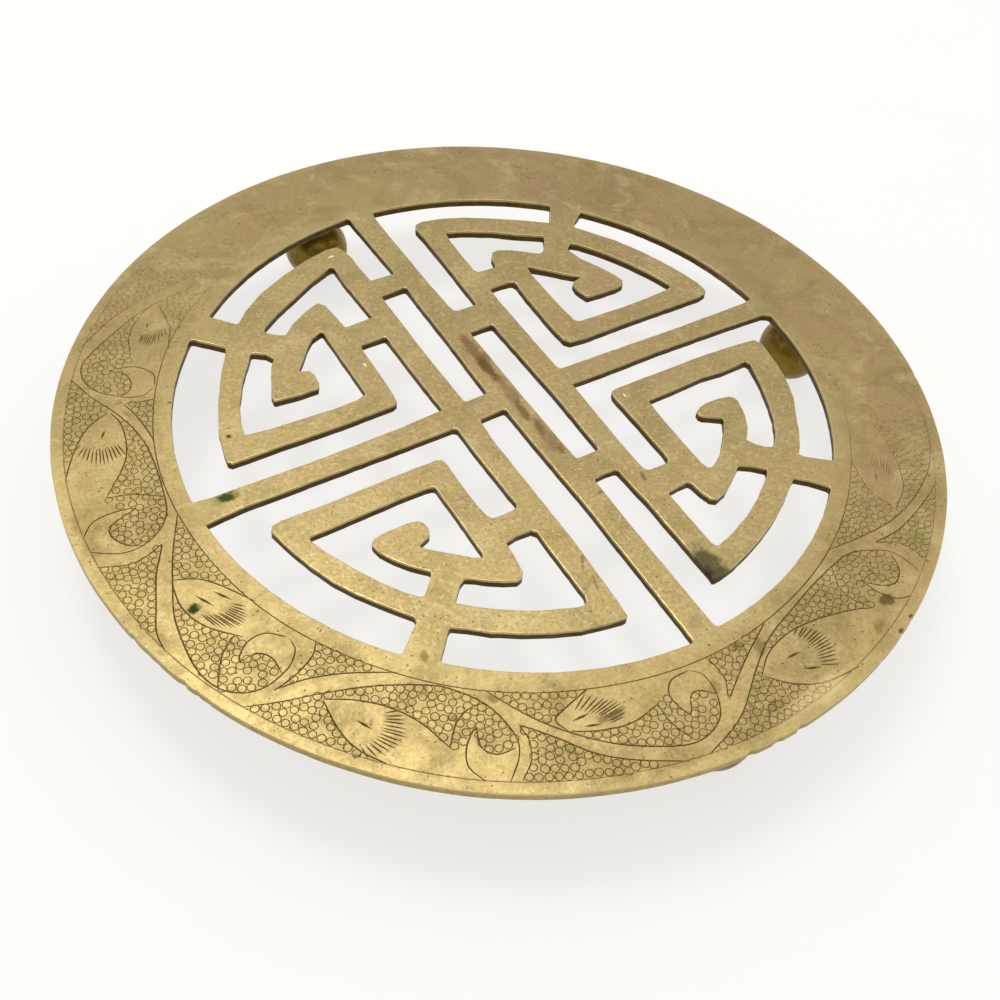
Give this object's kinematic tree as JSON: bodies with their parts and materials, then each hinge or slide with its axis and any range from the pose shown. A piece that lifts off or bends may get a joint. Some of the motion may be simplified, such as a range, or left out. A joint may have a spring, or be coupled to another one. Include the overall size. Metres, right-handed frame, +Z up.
{
  "type": "trivet",
  "caption": "Round pierced brass trivet: a sawn round fret inside a broad engraved rim, on turned ball feet soldered under the rim.",
  "frame": {"origin": "on the table, under the middle of the round sheet", "axes": "+Z up, square to the sheet; +Y towards the top of the fret when it is read upright"},
  "size_m": [0.18, 0.18, 0.022],
  "materials": {
    "sheet_brass": "old hand-worked sheet brass, lightly tarnished",
    "foot_brass": "turned brass, darker and smoother than the sheet",
    "solder": "dull grey soft solder"
  },
  "bodies": {
    "root": {"pierced_plate": "sheet_brass", "foot_back": "foot_brass", "foot_right": "foot_brass", "foot_front": "foot_brass", "foot_left": "foot_brass", "solder_back": "solder", "solder_right": "solder", "solder_front": "solder", "solder_left": "solder"}
  },
  "joints": []
}
